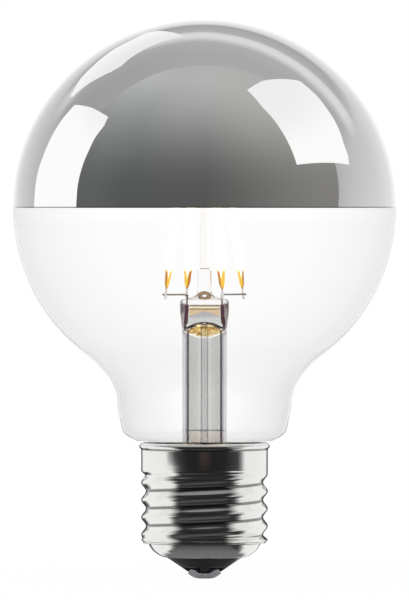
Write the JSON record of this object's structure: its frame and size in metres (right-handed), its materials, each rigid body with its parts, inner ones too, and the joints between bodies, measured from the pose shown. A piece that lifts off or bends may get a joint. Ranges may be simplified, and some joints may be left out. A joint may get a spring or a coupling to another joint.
{
  "type": "LED filament globe lamp with a mirrored crown",
  "caption": "Clear glass globe lamp with a silvered crown, glowing LED filaments on a glass stem and an E27 screw cap.",
  "frame": {"origin": "lowest point of the centre contact, on the lamp's axis; the lamp is held there by its screw cap", "axes": "+Z along the lamp's axis from the contact to the mirrored crown; -X is the left and -Y the front of the lamp as the picture shows it"},
  "size_m": [0.08, 0.08, 0.1166],
  "materials": {
    "clear_glass": "polished",
    "silver_mirror": "polished",
    "nickel_shell": "polished",
    "cap_cement": "matte",
    "black_glass": "gloss",
    "contact_metal": "satin",
    "stem_glass": "polished",
    "seal_wire": "satin",
    "nickel_wire": "satin",
    "copper_wire": "satin",
    "phosphor_coat": "satin",
    "circuit_board": "satin",
    "capacitor_sleeve": "satin",
    "ferrite": "matte",
    "black_resin": "matte",
    "resistor_coat": "satin"
  },
  "bodies": {
    "root": {"glass_envelope": "clear_glass", "mirror_crown": "silver_mirror", "screw_shell": "nickel_shell", "cap_cement": "cap_cement", "cap_insulator": "black_glass", "centre_contact": "contact_metal", "stem_press": "stem_glass", "exhaust_tube": "stem_glass", "support_rod": "stem_glass", "outer_lead_left": "copper_wire", "outer_lead_right": "copper_wire", "seal_wire_left": "seal_wire", "seal_wire_right": "seal_wire", "inner_lead_left": "nickel_wire", "inner_lead_right": "nickel_wire", "branch_wire_left": "nickel_wire", "branch_wire_right": "nickel_wire", "link_wire_1": "nickel_wire", "link_wire_2": "nickel_wire", "filament_right": "phosphor_coat", "filament_rear": "phosphor_coat", "filament_left": "phosphor_coat", "filament_front": "phosphor_coat", "filament_right_lower_tab": "nickel_wire", "filament_rear_lower_tab": "nickel_wire", "filament_left_lower_tab": "nickel_wire", "filament_front_lower_tab": "nickel_wire", "filament_right_upper_tab": "nickel_wire", "filament_rear_upper_tab": "nickel_wire", "filament_left_upper_tab": "nickel_wire", "filament_front_upper_tab": "nickel_wire", "driver_board": "circuit_board", "smoothing_capacitor": "capacitor_sleeve", "choke_core": "ferrite", "choke_winding": "copper_wire", "driver_chip": "black_resin", "bridge_rectifier": "black_resin", "fusible_resistor": "resistor_coat", "contact_wire": "copper_wire", "shell_wire": "copper_wire"}
  },
  "joints": []
}
